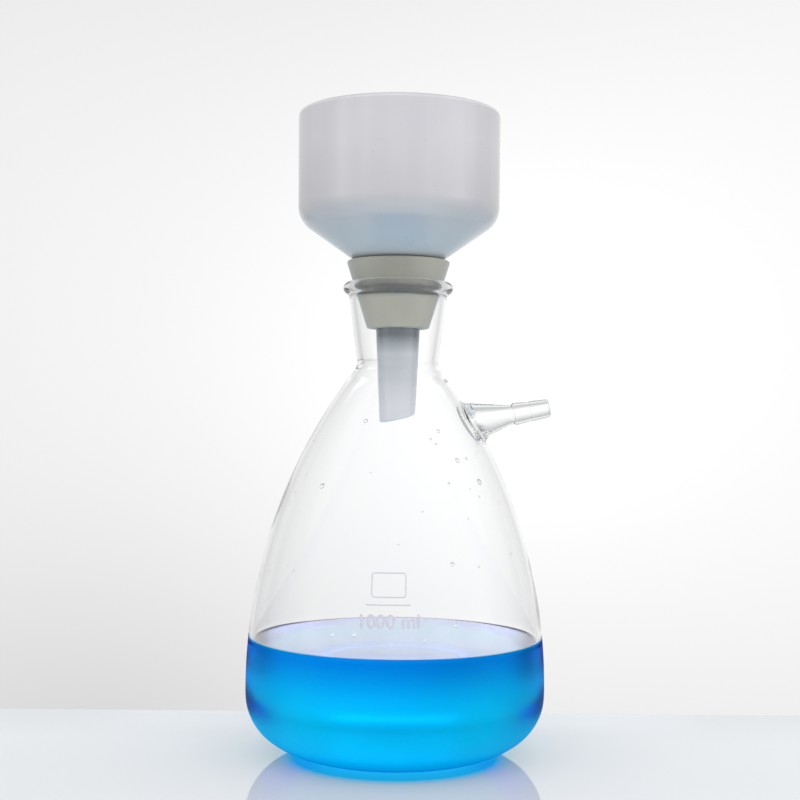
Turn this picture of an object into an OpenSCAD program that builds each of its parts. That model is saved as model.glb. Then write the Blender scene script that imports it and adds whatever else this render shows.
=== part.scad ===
// Vacuum filtration unit: a conical filter flask with a side arm, a rubber filter cone in its neck,
// and a porcelain Buchner funnel whose stem passes through the cone.
// The origin is at the middle of the flask's base, +Z is up and the side arm points along +X.

/* [Flask] */
// Largest diameter of the flask
flask_d = 130; // [110:1:160]
// Height of the flask to the top of its rim
flask_h = 205.4; // [190:0.1:240]
// Thickness of the glass
glass_wall = 2.5; // [1.8:0.1:3.2]
// Radius of the curve from the side into the heel
knee_r = 24; // [18:1:28]
// Angle that the knee turns through before the flatter heel begins
knee_turn = 53; // [40:1:65]
// Radius of the flatter curve that runs under to the foot
heel_r = 38; // [30:1:44]
// Height of the straight band between the knee and the upper side
belly_h = 3; // [0:0.5:8]
// Radius of the long curve of the upper side
side_r = 226; // [210:1:320]
// Width of the flat ring that the flask stands on
foot_w = 6; // [3:0.5:8]
// Height of the shallow dome pushed up inside the foot
punt_h = 2.4; // [1:0.1:4]

/* [Neck] */
// Radius of the neck's bore at the rim
mouth_r = 19.75; // [18:0.05:21]
// Angle that the neck widens upward, each side
neck_taper = 7.6; // [4:0.1:10]
// Radius of the curve between the side and the neck
shoulder_r = 7; // [2:0.5:9]
// Width of the rim, from the bore's edge to the outside of its bead
rim_w = 4.25; // [3.8:0.05:6]
// Radius of the bead's round edge
bead_r = 2.8; // [2:0.1:3.4]
// Radius of the rim's inner edge
lip_r = 1.2; // [0.8:0.1:1.6]
// Radius of the curve under the bead
bead_blend_r = 2.4; // [1:0.1:4]

/* [Side arm] */
// Height at which the arm's axis meets the outside of the flask
arm_z = 144.9; // [125:0.1:150]
// Upward slope of the arm
arm_slope = 10.5; // [0:0.5:15]
// Length of the arm from the flask to its tip
arm_l = 33.5; // [26:0.5:45]
// Radius of the arm where it leaves the flask
arm_root_r = 8.3; // [7:0.1:9.5]
// Radius of the plain tube between the root and the first barb
arm_tube_r = 4.55; // [4.2:0.05:4.8]
// Length of that plain tube
arm_tube_l = 2.8; // [1:0.1:4]
// Radius over the first barb
barb_1_r = 4.9; // [4.85:0.05:5.9]
// Length of the first barb
barb_1_l = 7.6; // [5:0.1:9]
// Radius of the arm just before the second barb
barb_1_end_r = 4.25; // [4:0.05:4.3]
// Radius over the second barb
barb_2_r = 4.45; // [4.4:0.05:4.7]
// Length of the second barb, up to the tip
barb_2_l = 8.1; // [5:0.1:9]
// Length of the short cylinder at the crest of each barb
barb_land = 1.2; // [0.8:0.1:2]
// Radius of the arm's tip
tip_r = 3.95; // [3.7:0.05:4.2]
// Radius of the bore at the tip
arm_bore_r = 2.4; // [2:0.1:2.7]
// Radius of the bore where the root ends
arm_bore_mid_r = 3.1; // [2.7:0.1:3.2]
// Radius of the bore where it opens into the flask
arm_bore_root_r = 5.4; // [4:0.1:6]
// Width of the glass built up round the root where it meets the flask
root_weld = 2.6; // [1.5:0.1:4]

/* [Filtrate] */
// Height of the liquid's surface above the bench
fill_h = 50.4; // [30:0.1:90]
// Clearance between the liquid's solid and the glass
fill_gap = 0.05; // [0.02:0.01:0.2]

/* [Rubber cone] */
// Length of the rubber cone below the rim's inner edge
cone_below = 19.1; // [14:0.1:26]
// Length of the rubber cone above the rim's inner edge
cone_above = 10.3; // [6:0.1:14]
// Thickness of the rubber round the stem at the bottom
cone_low_wall = 3.8; // [2.5:0.1:5]
// Thickness of the rubber at the mouth
cone_mouth_wall = 4.2; // [3:0.1:5.2]
// Radius of the edges of the rubber cone
cone_edge_r = 0.8; // [0.4:0.1:1.2]
// Length of the bottom hole that grips the funnel's stem
grip_l = 5; // [3:0.5:8]
// Clearance of the rubber cone from the glass rim and from the porcelain
seat_gap = 0.06; // [0.02:0.01:0.15]

/* [Funnel] */
// Diameter over the funnel's bowl
bowl_d = 88.2; // [80:0.2:100]
// Height of the funnel's rim above the corner of its wall and cone
bowl_h = 46.6; // [30:0.1:60]
// Thickness of the porcelain wall
bowl_wall = 3.8; // [3:0.1:4.6]
// Slope of the cone under the bowl, measured from level
cone_slope = 35; // [30:1:40]
// Radius of the curve from the wall into the cone
bowl_knee_r = 11.7; // [6:0.1:14]
// Radius of the curve between the cone and the stem
stem_blend_r = 4; // [2:0.5:5]
// Radius of the stem where the rubber cone grips it
stem_grip_r = 9.64; // [7.5:0.01:12]
// Taper of the stem, each side
stem_taper = 2.6; // [1.5:0.1:3.2]
// Length of the funnel from its rim to the tip of its stem
funnel_l = 135.2; // [128:0.1:150]
// Thickness of the stem's wall at its lower end
stem_wall = 2.9; // [2.4:0.1:3.4]
// Angle of the slanted cut across the end of the stem
tip_cut = 14.5; // [0:0.5:35]
// Direction in which the stem's lowest point lies, round from +X
tip_turn = 208; // [0:1:359]

/* [Strainer plate] */
// Height of the plate's lower face above the corner of the wall and cone
plate_up = 4; // [0:0.1:8]
// Thickness of the plate
plate_t = 4; // [3:0.1:5]
// Radius of the corner between the plate and the bowl's wall
plate_corner_r = 2; // [1:0.1:2.6]
// Radius of each hole in the plate
hole_r = 1.25; // [0.8:0.05:1.6]
// Distance between the rings of holes
ring_pitch = 6.8; // [6:0.1:7.5]
// Least width of plain plate outside the outer ring
plate_margin = 6; // [4:0.1:10]

/* [Filter paper] */
// Distance from the edge of the filter paper to the plate's round corner
paper_margin = 0.8; // [0.2:0.1:2]
// Thickness of the filter paper
paper_t = 0.4; // [0.2:0.05:0.6]

/* [Hidden] */
$fn = 96;
over = 1;
flask_r = flask_d / 2;

// The profile's curves: heel, knee and long side run into one another in that order.
knee_x = flask_r - knee_r;
knee_z = heel_r - (heel_r - knee_r) * sin(knee_turn);
heel_x = knee_x - (heel_r - knee_r) * cos(knee_turn);
side_x = flask_r - side_r;
side_z = knee_z + belly_h;
foot_in_r = heel_x - foot_w;
punt_r = (foot_in_r * foot_in_r + punt_h * punt_h) / (2 * punt_h);

// The neck's bore is a straight taper, mouth_r wide at the rim.
neck_k = tan(neck_taper);
function bore_r(z) = mouth_r - neck_k * (flask_h - z);

// Middle of a curve that is `off` outside the neck's bore line and `reach` from the point [cx, cz].
// side is +1 for the upper of the two such points and -1 for the lower.
function blend_at(cx, cz, reach, off, side) =
    let (start = bore_r(0) + off / cos(neck_taper) - cx)
    let (a = 1 + neck_k * neck_k)
    let (b = 2 * (neck_k * start - cz))
    let (c = start * start + cz * cz - reach * reach)
    let (z = (-b + side * sqrt(b * b - 4 * a * c)) / (2 * a))
    [cx + start + neck_k * z, z];

shoulder = blend_at(side_x, side_z, side_r + shoulder_r, glass_wall + shoulder_r, 1);
bead_x = mouth_r + rim_w - bead_r;
bead_z = flask_h - bead_r;
under_bead = blend_at(bead_x, bead_z, bead_r + bead_blend_r, glass_wall + bead_blend_r, -1);
lip_z = flask_h - lip_r;
lip_x = bore_r(lip_z) + lip_r / cos(neck_taper);
lip_foot = [lip_x, lip_z] + lip_r * [-cos(neck_taper), sin(neck_taper)];

// Where a line from a point touches a circle, passing it on the left as the line runs upward.
function touch_at(from, centre, radius) =
    let (to = centre - from)
    let (turn = atan2(to[1], to[0]) + asin(radius / norm(to)))
    from + sqrt(to * to - radius * radius) * [cos(turn), sin(turn)];

// The arm's axis starts on the outside of the flask and rises along +X. Its root ends at the plain tube.
barb_2_at = arm_l - barb_2_l;
barb_1_at = barb_2_at - barb_1_l;
root_l = barb_1_at - arm_tube_l;
function side_at(z) = side_x + sqrt(side_r * side_r - (z - side_z) * (z - side_z));
arm_x = side_at(arm_z);
side_lean = asin((arm_z - side_z) / side_r);

// The rubber cone rests against the rim's inner edge, and the funnel rests on the cone's mouth.
cone_h = cone_below + cone_above;
cone_z = lip_z - cone_below;
cone_low_r = stem_grip_r + seat_gap + cone_low_wall;
cone_seat = touch_at([cone_low_r, cone_z], [lip_x, lip_z], lip_r + seat_gap);
cone_k = (cone_seat[0] - cone_low_r) / (cone_seat[1] - cone_z);
cone_taper = atan(cone_k);
cone_top_z = cone_z + cone_h;
cone_mouth_r = cone_low_r + cone_h * cone_k - cone_mouth_wall;

// The line of the funnel's cone passes seat_gap from the round edge of the mouth.
seat_x = cone_mouth_r + cone_edge_r;
seat_z = cone_top_z - cone_edge_r;
apex_z = seat_z - (seat_x * sin(cone_slope) - cone_edge_r - seat_gap) / cos(cone_slope);
bowl_r = bowl_d / 2;
bowl_in_r = bowl_r - bowl_wall;
corner_z = apex_z + bowl_r * tan(cone_slope);
rim_z = corner_z + bowl_h;
rim_edge_r = bowl_wall / 2;
chamber_top_z = corner_z + plate_up;
plate_z = chamber_top_z + plate_t;
plate_depth = rim_z - plate_z;
ring_count = floor((bowl_in_r - plate_margin) / ring_pitch);
bowl_knee_x = bowl_r - bowl_knee_r;
bowl_knee_z = corner_z + bowl_knee_r * tan((90 - cone_slope) / 2);

// The stem widens upward, and a curve joins it to the cone.
stem_z = rim_z - funnel_l;
stem_k = tan(stem_taper);
function stem_r(z) = stem_grip_r + stem_k * (z - cone_z);
stem_low_r = stem_r(stem_z);
blend_start = stem_r(0) + stem_blend_r / cos(stem_taper);
stem_blend_z = (blend_start * sin(cone_slope) + apex_z * cos(cone_slope) - stem_blend_r)
    / (cos(cone_slope) - stem_k * sin(cone_slope));
stem_blend = [blend_start + stem_k * stem_blend_z, stem_blend_z];

// ---------- flask ----------

// Body of the flask in section, `inset` inside its outer face.
module body_section(inset) {
    knee_end = knee_r - inset;
    polygon([
        [0, inset],
        [heel_x, inset],
        [heel_x + (heel_r - inset) * cos(knee_turn), heel_r - (heel_r - inset) * sin(knee_turn)],
        [knee_x + knee_end, knee_z],
        [knee_x + knee_end, side_z],
        [0, side_z]
    ]);
    translate([knee_x, knee_z]) circle(knee_end);
    intersection() {
        translate([heel_x, heel_r]) circle(heel_r - inset);
        polygon([
            [heel_x, heel_r],
            [heel_x, -over],
            [heel_x + (heel_r + over) / tan(knee_turn), -over]
        ]);
    }
    intersection() {
        translate([side_x, side_z]) circle(side_r - inset, $fn = 720);
        translate([0, side_z]) square([flask_r, shoulder[1] - side_z]);
    }
}

// Neck of the flask in section, with the curve that joins it to the body.
module neck_section(inset, top_z) {
    out = (glass_wall - inset) / cos(neck_taper);
    blend_r = shoulder_r + inset;
    neck_foot = shoulder + blend_r * [-cos(neck_taper), sin(neck_taper)];
    to_side = [side_x, side_z] - shoulder;
    side_foot = shoulder + blend_r * to_side / norm(to_side);
    polygon([
        [0, neck_foot[1]],
        [bore_r(neck_foot[1]) + out, neck_foot[1]],
        [bore_r(top_z) + out, top_z],
        [0, top_z]
    ]);
    difference() {
        polygon([
            [0, side_foot[1]],
            side_foot,
            shoulder,
            neck_foot,
            [0, neck_foot[1]]
        ]);
        translate(shoulder) circle(blend_r);
    }
}

// Rounded rim with its bead and the small curve under it.
module rim_section() {
    neck_foot = under_bead + bead_blend_r * [-cos(neck_taper), sin(neck_taper)];
    to_bead = [bead_x, bead_z] - under_bead;
    bead_foot = under_bead + bead_blend_r * to_bead / norm(to_bead);
    intersection() {
        translate([bead_x, bead_z]) circle(bead_r);
        translate([lip_x, 0]) square([flask_r, flask_h + over]);
    }
    translate([lip_x, lip_z]) circle(lip_r);
    polygon([
        [bore_r(neck_foot[1]), neck_foot[1]],
        neck_foot,
        [bead_x, bead_z],
        [bead_x, flask_h],
        [lip_x, flask_h],
        [lip_x, lip_z],
        [bore_r(lip_z), lip_z]
    ]);
    difference() {
        polygon([
            [bore_r(neck_foot[1]), neck_foot[1]],
            neck_foot,
            under_bead,
            bead_foot,
            [bead_x, bead_z]
        ]);
        translate(under_bead) circle(bead_blend_r);
    }
}

// Moves a piece that is built along +Z onto the arm's axis.
module on_arm() {
    translate([arm_x, 0, arm_z]) rotate([0, 90 - arm_slope, 0]) children();
}

// Outside of the arm: a tapered root, a plain tube and two barbs.
module arm_outside() {
    on_arm() rotate_extrude() polygon([
        [0, -2 * glass_wall],
        [arm_root_r + (arm_root_r - arm_tube_r) * 2 * glass_wall / root_l, -2 * glass_wall],
        [arm_tube_r, root_l],
        [arm_tube_r, barb_1_at],
        [barb_1_r, barb_1_at],
        [barb_1_r, barb_1_at + barb_land],
        [barb_1_end_r, barb_2_at],
        [barb_2_r, barb_2_at],
        [barb_2_r, barb_2_at + barb_land],
        [tip_r, arm_l],
        [0, arm_l]
    ]);
}

// Glass built up where the root meets the flask, sloping at 45 degrees to the flask's side.
module arm_weld() {
    weld_r = arm_root_r + root_weld;
    weld_h = weld_r - arm_tube_r;
    translate([arm_x, 0, arm_z]) rotate([0, 90 - side_lean, 0]) translate([0, 0, -glass_wall])
        cylinder(h = glass_wall + weld_h, r1 = weld_r + glass_wall, r2 = weld_r - weld_h);
}

module arm_bore() {
    on_arm() rotate_extrude() polygon([
        [0, -4 * glass_wall],
        [arm_bore_root_r + (arm_bore_root_r - arm_bore_mid_r) * 4 * glass_wall / root_l, -4 * glass_wall],
        [arm_bore_mid_r, root_l],
        [arm_bore_r, arm_l - barb_land],
        [arm_bore_r, arm_l + over],
        [0, arm_l + over]
    ]);
}

module flask() {
    color([0.85, 0.93, 0.95, 0.35])
    difference() {
        union() {
            rotate_extrude() {
                body_section(0);
                neck_section(0, lip_foot[1]);
            }
            rotate_extrude() rim_section();
            arm_outside();
            arm_weld();
        }
        rotate_extrude() {
            difference() {
                body_section(glass_wall);
                translate([0, punt_h - punt_r]) circle(punt_r + glass_wall, $fn = 720);
            }
            neck_section(glass_wall, lip_foot[1]);
            translate([0, lip_foot[1]]) square([lip_foot[0], lip_r + over]);
        }
        rotate_extrude() translate([0, punt_h - punt_r]) intersection() {
            circle(punt_r, $fn = 720);
            translate([0, punt_r - punt_h - over]) square([foot_in_r + over, punt_h + over]);
        }
        arm_bore();
    }
}

// ---------- liquid ----------

module filtrate() {
    inset = glass_wall + fill_gap;
    color([0.05, 0.5, 0.95, 0.8])
    rotate_extrude() difference() {
        intersection() {
            body_section(inset);
            square([flask_r, fill_h]);
        }
        translate([0, punt_h - punt_r]) circle(punt_r + inset, $fn = 720);
    }
}

// ---------- rubber cone ----------

module rubber_cone() {
    slope = [cos(cone_taper), -sin(cone_taper)];
    edge_x = cone_low_r - cone_edge_r / cos(cone_taper);
    low_edge = [edge_x + cone_k * cone_edge_r, cone_z + cone_edge_r];
    top_edge = [edge_x + cone_k * (cone_h - cone_edge_r), seat_z];
    mouth_edge = [seat_x, seat_z];
    grip_top = [stem_r(cone_z + grip_l) + seat_gap, cone_z + grip_l];
    color([0.67, 0.67, 0.62])
    rotate_extrude() {
        polygon([
            [stem_r(cone_z) + seat_gap, cone_z],
            [low_edge[0], cone_z],
            low_edge,
            low_edge + cone_edge_r * slope,
            top_edge + cone_edge_r * slope,
            top_edge,
            [top_edge[0], cone_top_z],
            [mouth_edge[0], cone_top_z],
            mouth_edge,
            touch_at(grip_top, mouth_edge, cone_edge_r),
            grip_top
        ]);
        for (edge = [low_edge, top_edge, mouth_edge]) translate(edge) circle(cone_edge_r);
    }
}

// ---------- funnel ----------

// Outside of the funnel in section, filled in to the axis.
module funnel_section() {
    slope = [sin(cone_slope), -cos(cone_slope)];
    stem_foot = stem_blend + stem_blend_r * [-cos(stem_taper), sin(stem_taper)];
    cone_foot = stem_blend - stem_blend_r * slope;
    polygon([
        [0, stem_z],
        [stem_low_r, stem_z],
        stem_foot,
        cone_foot,
        [bowl_knee_x, bowl_knee_z] + bowl_knee_r * slope,
        [bowl_r, bowl_knee_z],
        [bowl_r, rim_z - rim_edge_r],
        [0, rim_z - rim_edge_r]
    ]);
    translate([bowl_knee_x, bowl_knee_z]) circle(bowl_knee_r);
    translate([bowl_r - rim_edge_r, rim_z - rim_edge_r]) circle(rim_edge_r);
    difference() {
        polygon([
            [0, stem_foot[1]],
            stem_foot,
            stem_blend,
            cone_foot,
            [0, cone_foot[1]]
        ]);
        translate(stem_blend) circle(stem_blend_r);
    }
}

// Inside of the bowl above the plate, with a round corner at the foot of its wall.
module bowl_hollow() {
    rotate_extrude() {
        translate([0, plate_z]) square([bowl_in_r - plate_corner_r, plate_depth + over]);
        translate([0, plate_z + plate_corner_r]) square([bowl_in_r, plate_depth + over]);
        translate([bowl_in_r - plate_corner_r, plate_z + plate_corner_r]) circle(plate_corner_r);
    }
}

// Chamber under the plate, which narrows to the stem's bore.
module chamber() {
    slope = [sin(cone_slope), -cos(cone_slope)];
    knee_in_r = bowl_knee_r - bowl_wall;
    knee = [bowl_knee_x, bowl_knee_z];
    rotate_extrude() intersection() {
        union() {
            translate(knee) circle(knee_in_r);
            polygon([
                [0, apex_z + bowl_wall / cos(cone_slope)],
                knee + knee_in_r * slope,
                knee + [knee_in_r, 0],
                [0, bowl_knee_z]
            ]);
        }
        square([bowl_r, chamber_top_z]);
    }
    rotate_extrude() polygon([
        [0, stem_z - over],
        [stem_r(stem_z - over) - stem_wall, stem_z - over],
        [stem_r(chamber_top_z - over) - stem_wall, chamber_top_z - over],
        [0, chamber_top_z - over]
    ]);
}

module plate_holes() {
    for (ring = [0:ring_count])
        for (hole = [0:max(6 * ring, 1) - 1])
            rotate(hole * 60 / max(ring, 1)) translate([ring * ring_pitch, 0, chamber_top_z - over])
                cylinder(h = plate_t + 2 * over, r = hole_r, $fn = 32);
}

// Everything below the slanted cut across the stem's end.
module below_tip_cut() {
    size = 4 * bowl_in_r;
    rotate(tip_turn) translate([stem_low_r, 0, stem_z]) rotate([0, tip_cut, 0])
        translate([-size / 2, -size / 2, -size]) cube(size);
}

module buchner_funnel() {
    color([0.9, 0.9, 0.93])
    difference() {
        rotate_extrude() funnel_section();
        bowl_hollow();
        chamber();
        plate_holes();
        below_tip_cut();
    }
}

module filter_paper() {
    color([0.96, 0.95, 0.92])
    translate([0, 0, plate_z]) cylinder(h = paper_t, r = bowl_in_r - plate_corner_r - paper_margin);
}

flask();
filtrate();
rubber_cone();
buchner_funnel();
filter_paper();
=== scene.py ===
import math
import random

import bmesh
import bpy
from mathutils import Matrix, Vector
from mathutils.geometry import delaunay_2d_cdt


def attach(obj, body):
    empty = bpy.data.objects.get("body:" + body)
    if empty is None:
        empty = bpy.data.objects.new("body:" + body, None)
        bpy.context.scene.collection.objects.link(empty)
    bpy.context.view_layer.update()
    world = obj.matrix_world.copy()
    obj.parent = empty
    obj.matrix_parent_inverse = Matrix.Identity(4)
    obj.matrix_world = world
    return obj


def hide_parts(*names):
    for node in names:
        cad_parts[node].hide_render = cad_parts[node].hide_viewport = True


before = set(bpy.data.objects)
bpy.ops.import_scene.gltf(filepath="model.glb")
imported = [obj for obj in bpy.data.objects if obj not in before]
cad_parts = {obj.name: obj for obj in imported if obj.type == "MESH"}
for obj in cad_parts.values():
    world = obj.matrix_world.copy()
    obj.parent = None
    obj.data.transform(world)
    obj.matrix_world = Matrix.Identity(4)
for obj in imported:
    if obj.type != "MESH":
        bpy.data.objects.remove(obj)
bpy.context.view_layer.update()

MM = 0.001
TURN = 2 * math.pi

# Every size is in millimetres or degrees and follows the CAD model.
FLASK_R, GLASS = 65.0, 2.5
HEEL_MID, HEEL_R = (32.5746, 38.0), 38.0
KNEE_MID, KNEE_R, KNEE_TURN = (41.0, 26.8191), 24.0, 53.0
SIDE_MID, SIDE_R = (-161.0, 29.8191), 226.0
SHOULDER_MID, SHOULDER_R = (24.6863, 170.566), 7.0
FOOT_IN_R, PUNT_H = 26.5746, 2.4
PUNT_R = (FOOT_IN_R ** 2 + PUNT_H ** 2) / (2 * PUNT_H)
NECK_TAPER = 7.6
UNDER_BEAD_MID, UNDER_BEAD_R = (23.7124, 198.047), 2.4
BEAD_MID, BEAD_R = (21.2, 202.6), 2.8
BEAD_JOIN_TURN = 118.9
LIP_MID, LIP_R = (20.8005, 204.2), 1.2
ARM_Z, ARM_SLOPE, ARM_L = 144.9, 10.5, 33.5
ARM_X = 33.5055
FILL_H = 50.4
NECK_FOOT_TURN = 180 - NECK_TAPER


# ---------------------------------------------------------------- lines

def arc(centre, radius, start, end, step=3.0):
    """Points on a circle from one angle to another, in degrees."""
    count = max(2, math.ceil(abs(end - start) / step))
    turns = [math.radians(start + (end - start) * i / count) for i in range(count + 1)]
    return [(centre[0] + radius * math.cos(a), centre[1] + radius * math.sin(a)) for a in turns]


def curve(a, b, c, count):
    """A quadratic curve from a to c that heads for b."""
    return [
        tuple((1 - t) ** 2 * a[k] + 2 * t * (1 - t) * b[k] + t * t * c[k] for k in (0, 1))
        for t in [i / count for i in range(count + 1)]
    ]


def rounded(corners, step=9.0):
    """A line through (x, z, radius) corners, each corner rounded to its radius."""
    out = []
    for i, (x, z, radius) in enumerate(corners):
        here = Vector((x, z))
        if radius == 0 or i in (0, len(corners) - 1):
            out.append((x, z))
            continue
        back = (Vector(corners[i - 1][:2]) - here).normalized()
        ahead = (Vector(corners[i + 1][:2]) - here).normalized()
        half = math.acos(max(-1.0, min(1.0, back.dot(ahead)))) / 2
        centre = here + (back + ahead).normalized() * (radius / math.sin(half))
        reach = radius / math.tan(half)
        first, last = here + back * reach - centre, here + ahead * reach - centre
        start = math.atan2(first.y, first.x)
        turn = (math.atan2(last.y, last.x) - start + math.pi) % TURN - math.pi
        out += arc(centre, radius, math.degrees(start), math.degrees(start + turn), step)
    return out


def split(points, longest):
    """The same line with its long stretches cut up and its doubled points left out."""
    out = [points[0]]
    for b in points[1:]:
        a = out[-1]
        length = math.hypot(b[0] - a[0], b[1] - a[1])
        if length < 0.01:
            continue
        count = max(1, math.ceil(length / longest))
        out += [
            (a[0] + (b[0] - a[0]) * k / count, a[1] + (b[1] - a[1]) * k / count)
            for k in range(1, count + 1)
        ]
    return out


# ---------------------------------------------------------------- meshes

def ring_row(bm, radius, z, count):
    """One ring of vertices, or a single vertex on the axis."""
    if radius < 1e-6:
        return [bm.verts.new((0, 0, z))]
    turns = [TURN * j / count for j in range(count)]
    return [bm.verts.new((radius * math.cos(a), radius * math.sin(a), z)) for a in turns]


def bridge(bm, low, high, skip=(), finish=0):
    """Faces between two closed rows of vertices, either of which may be a single vertex."""
    count = max(len(low), len(high))
    for j in range(count):
        k = (j + 1) % count
        if j in skip:
            continue
        if len(low) == 1:
            face = bm.faces.new((low[0], high[k], high[j]))
        elif len(high) == 1:
            face = bm.faces.new((low[j], low[k], high[0]))
        else:
            face = bm.faces.new((low[j], low[k], high[k], high[j]))
        face.material_index = finish


def lathe(bm, points, count):
    """Turns a line of (radius, z) points round the axis. Both ends are on the axis, or it is a loop."""
    rows = [ring_row(bm, r, z, count) for r, z in points]
    for low, high in zip(rows, rows[1:]):
        bridge(bm, low, high)
    if len(rows[0]) > 1:
        bridge(bm, rows[-1], rows[0])
    return rows


def make_piece(name, bm, materials, replaces=None):
    """Turns a bmesh in millimetres into a smooth piece in metres that rides on the root body."""
    bmesh.ops.scale(bm, vec=(MM, MM, MM), verts=bm.verts)
    bmesh.ops.recalc_face_normals(bm, faces=bm.faces)
    mesh = bpy.data.meshes.new(name)
    bm.to_mesh(mesh)
    bm.free()
    for face in mesh.polygons:
        face.use_smooth = True
    piece = bpy.data.objects.new(name, mesh)
    bpy.context.scene.collection.objects.link(piece)
    for material in materials:
        mesh.materials.append(material)
    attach(piece, "root")
    if replaces:
        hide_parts(replaces)
    return piece


# ---------------------------------------------------------------- materials

GLASS_BEND, LIQUID_BEND, WATER_BEND = 1.473, 1.34, 1.333


def feed(tree, socket, value):
    """Links an input socket to another socket, or sets it to a plain value."""
    if isinstance(value, bpy.types.NodeSocket):
        tree.links.new(value, socket)
    else:
        socket.default_value = value


class Nodes:
    """Short names for building one material."""

    def __init__(self, name):
        self.material = bpy.data.materials.new(name)
        self.material.use_nodes = True
        self.tree = self.material.node_tree
        self.bsdf = self.tree.nodes["Principled BSDF"]
        self.out = self.tree.nodes["Material Output"]
        self.surface = self.bsdf.outputs[0]
        self.place = self.add("ShaderNodeTexCoord").outputs["Object"]

    def add(self, kind, **values):
        """A new node with some of its settings."""
        node = self.tree.nodes.new(kind)
        for key, value in values.items():
            setattr(node, key, value)
        return node

    def link(self, a, b):
        self.tree.links.new(a, b)

    def axes(self):
        """Sockets for X, Y and Z on the object, in metres."""
        node = self.add("ShaderNodeSeparateXYZ")
        self.link(self.place, node.inputs[0])
        return tuple(node.outputs)

    def noise(self, scale, detail=3.0, rough=0.5, stretch=(1, 1, 1)):
        """Noise on the object, `scale` features to the metre."""
        mapping = self.add("ShaderNodeMapping")
        mapping.inputs["Scale"].default_value = stretch
        self.link(self.place, mapping.inputs["Vector"])
        node = self.add("ShaderNodeTexNoise")
        node.inputs["Scale"].default_value = scale
        node.inputs["Detail"].default_value = detail
        node.inputs["Roughness"].default_value = rough
        self.link(mapping.outputs["Vector"], node.inputs["Vector"])
        return node.outputs["Fac"]

    def ramp(self, source, stops):
        """A colour ramp with (place, colour) stops."""
        node = self.add("ShaderNodeValToRGB")
        while len(node.color_ramp.elements) < len(stops):
            node.color_ramp.elements.new(0.5)
        for element, (place, colour) in zip(node.color_ramp.elements, stops):
            element.position = place
            element.color = (*colour, 1)
        self.link(source, node.inputs["Fac"])
        return node.outputs["Color"]

    def range(self, source, low, high, to_low, to_high, shape="LINEAR"):
        """Maps low to high onto to_low to to_high, and goes no further at either end."""
        node = self.add("ShaderNodeMapRange", interpolation_type=shape)
        for key, value in zip(("From Min", "From Max", "To Min", "To Max"),
                              (low, high, to_low, to_high)):
            node.inputs[key].default_value = value
        self.link(source, node.inputs["Value"])
        return node.outputs["Result"]

    def band(self, source, start, full, fade, end, share):
        """A share that is whole between full and fade and nothing outside start and end."""
        rise = self.range(source, start, full, 0.0, share)
        return self.maths("MULTIPLY", rise, self.range(source, fade, end, 1.0, 0.0))

    def maths(self, operation, a, b):
        """A sum, difference or product. Each of a and b is a socket or a number."""
        node = self.add("ShaderNodeMath", operation=operation)
        feed(self.tree, node.inputs[0], a)
        feed(self.tree, node.inputs[1], b)
        return node.outputs[0]

    def mix(self, factor, a, b, blend="MIX"):
        """A colour mix. Each of factor, a and b is a socket or a plain value."""
        node = self.add("ShaderNodeMix", data_type="RGBA", blend_type=blend)
        for key, value in (("Factor", factor), (6, a), (7, b)):
            if isinstance(value, tuple):
                value = (*value, 1)
            feed(self.tree, node.inputs[key], value)
        return node.outputs[2]

    def bump(self, height, strength, distance):
        """A normal that follows small heights, `distance` metres from lowest to highest."""
        node = self.add("ShaderNodeBump")
        node.inputs["Strength"].default_value = strength
        node.inputs["Distance"].default_value = distance
        self.link(height, node.inputs["Height"])
        return node.outputs["Normal"]

    def blend_in(self, share, shader):
        """Lets another shader take a share of the surface. The share is a socket or a number."""
        choose = self.add("ShaderNodeMixShader")
        feed(self.tree, choose.inputs[0], share)
        self.link(self.surface, choose.inputs[1])
        self.link(shader.outputs[0], choose.inputs[2])
        self.surface = choose.outputs[0]
        self.link(self.surface, self.out.inputs["Surface"])

    def pass_unmirrored(self, share, bend, colour, soft=0.0):
        """A share of the light that comes in is bent, and none of that share is mirrored."""
        leaving = self.add("ShaderNodeNewGeometry").outputs["Backfacing"]
        share = self.maths("MULTIPLY", self.maths("SUBTRACT", 1.0, leaving), share)
        clear = self.add("ShaderNodeBsdfRefraction")
        clear.inputs["IOR"].default_value = bend
        feed(self.tree, clear.inputs["Roughness"], soft)
        feed(self.tree, clear.inputs["Color"], colour)
        self.blend_in(share, clear)

    def pass_straight(self, share, tint=(1, 1, 1)):
        """A share of the light goes straight through."""
        clear = self.add("ShaderNodeBsdfTransparent")
        clear.inputs["Color"].default_value = (*tint, 1)
        self.blend_in(share, clear)

    def let_lamps_through(self, tint=(1, 1, 1)):
        """Lamp light passes straight through this surface, as it nearly does through thin glass."""
        self.pass_straight(self.add("ShaderNodeLightPath").outputs["Is Shadow Ray"], tint)

    def set(self, **values):
        """Sets or links the main shader's inputs, named with _ for each space."""
        for key, value in values.items():
            feed(self.tree, self.bsdf.inputs[key.replace("_", " ")], value)


def glass_material(name, mirror, dull=0.0, straight=0.0, soft=0.0, tint=(0.994, 0.997, 0.998)):
    """Clear borosilicate with the faint waves of blown glass.

    `mirror` is how much its face reflects, `dull` the share of the light that comes in and is never
    mirrored, `straight` the share that goes through unbent, and `soft` how rough the face is.
    """
    m = Nodes(name)
    waves = m.noise(28, detail=1.0)
    m.set(
        Base_Color=(*tint, 1),
        Roughness=soft,
        IOR=GLASS_BEND,
        Specular_Tint=(mirror, mirror, mirror, 1),
        Transmission_Weight=1.0,
        Normal=m.bump(waves, 0.25, 0.0006),
    )
    if dull:
        m.pass_unmirrored(dull, GLASS_BEND, (1, 1, 1, 1))
    if straight:
        m.pass_straight(straight)
    m.let_lamps_through((0.96, 0.97, 0.97))
    return m.material


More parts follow.
